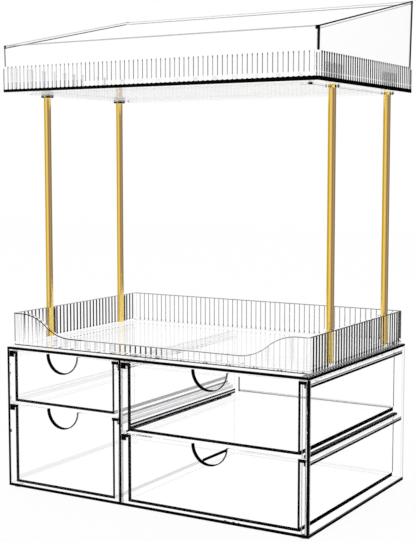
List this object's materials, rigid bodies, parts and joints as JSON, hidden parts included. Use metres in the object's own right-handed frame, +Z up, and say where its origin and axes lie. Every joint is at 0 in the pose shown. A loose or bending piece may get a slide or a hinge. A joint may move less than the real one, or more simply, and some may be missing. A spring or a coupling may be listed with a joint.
{
  "type": "drawer organizer",
  "caption": "Clear desktop organizer: a cabinet of hanging drawers with finger notches, a fluted tray on top and a second fluted tray held above on slim gold posts.",
  "frame": {"origin": "on the table under the middle of the cabinet", "axes": "+X to the right seen from the front, +Y to the back, +Z up; the drawers open towards -Y"},
  "size_m": [0.3076, 0.199, 0.4352],
  "materials": {
    "cabinet_clear": "clear polished moulded plastic",
    "drawer_clear": "clear polished moulded plastic",
    "tray_clear": "clear polished moulded plastic, reeded outside",
    "post_gold": "polished gold plating",
    "pad_clear": "clear soft pad"
  },
  "bodies": {
    "cabinet": {"top_panel": "cabinet_clear", "bottom_panel": "cabinet_clear", "left_panel": "cabinet_clear", "right_panel": "cabinet_clear", "back_panel": "cabinet_clear", "divider": "cabinet_clear", "left_upper_runner_outer": "cabinet_clear", "left_upper_runner_inner": "cabinet_clear", "left_lower_runner_outer": "cabinet_clear", "left_lower_runner_inner": "cabinet_clear", "right_upper_runner_outer": "cabinet_clear", "right_upper_runner_inner": "cabinet_clear", "right_lower_runner_outer": "cabinet_clear", "right_lower_runner_inner": "cabinet_clear", "left_guide_outer": "cabinet_clear", "left_guide_inner": "cabinet_clear", "right_guide_outer": "cabinet_clear", "right_guide_inner": "cabinet_clear", "foot_front_left": "pad_clear", "foot_front_right": "pad_clear", "foot_back_left": "pad_clear", "foot_back_right": "pad_clear", "lower_tray": "tray_clear", "upper_tray": "tray_clear", "post_front_left": "post_gold", "post_front_right": "post_gold", "post_back_left": "post_gold", "post_back_right": "post_gold"},
    "left_upper_drawer": {"left_upper_box": "drawer_clear", "left_upper_front": "drawer_clear"},
    "left_lower_drawer": {"left_lower_box": "drawer_clear", "left_lower_front": "drawer_clear"},
    "right_upper_drawer": {"right_upper_box": "drawer_clear", "right_upper_front": "drawer_clear"},
    "right_lower_drawer": {"right_lower_box": "drawer_clear", "right_lower_front": "drawer_clear"}
  },
  "joints": [
    {"name": "left_upper_slide", "type": "slide", "parent": "cabinet", "child": "left_upper_drawer", "axis": [0, -1, 0], "range_m": [0, 0.15]},
    {"name": "left_lower_slide", "type": "slide", "parent": "cabinet", "child": "left_lower_drawer", "axis": [0, -1, 0], "range_m": [0, 0.15]},
    {"name": "right_upper_slide", "type": "slide", "parent": "cabinet", "child": "right_upper_drawer", "axis": [0, -1, 0], "range_m": [0, 0.15]},
    {"name": "right_lower_slide", "type": "slide", "parent": "cabinet", "child": "right_lower_drawer", "axis": [0, -1, 0], "range_m": [0, 0.15]}
  ]
}
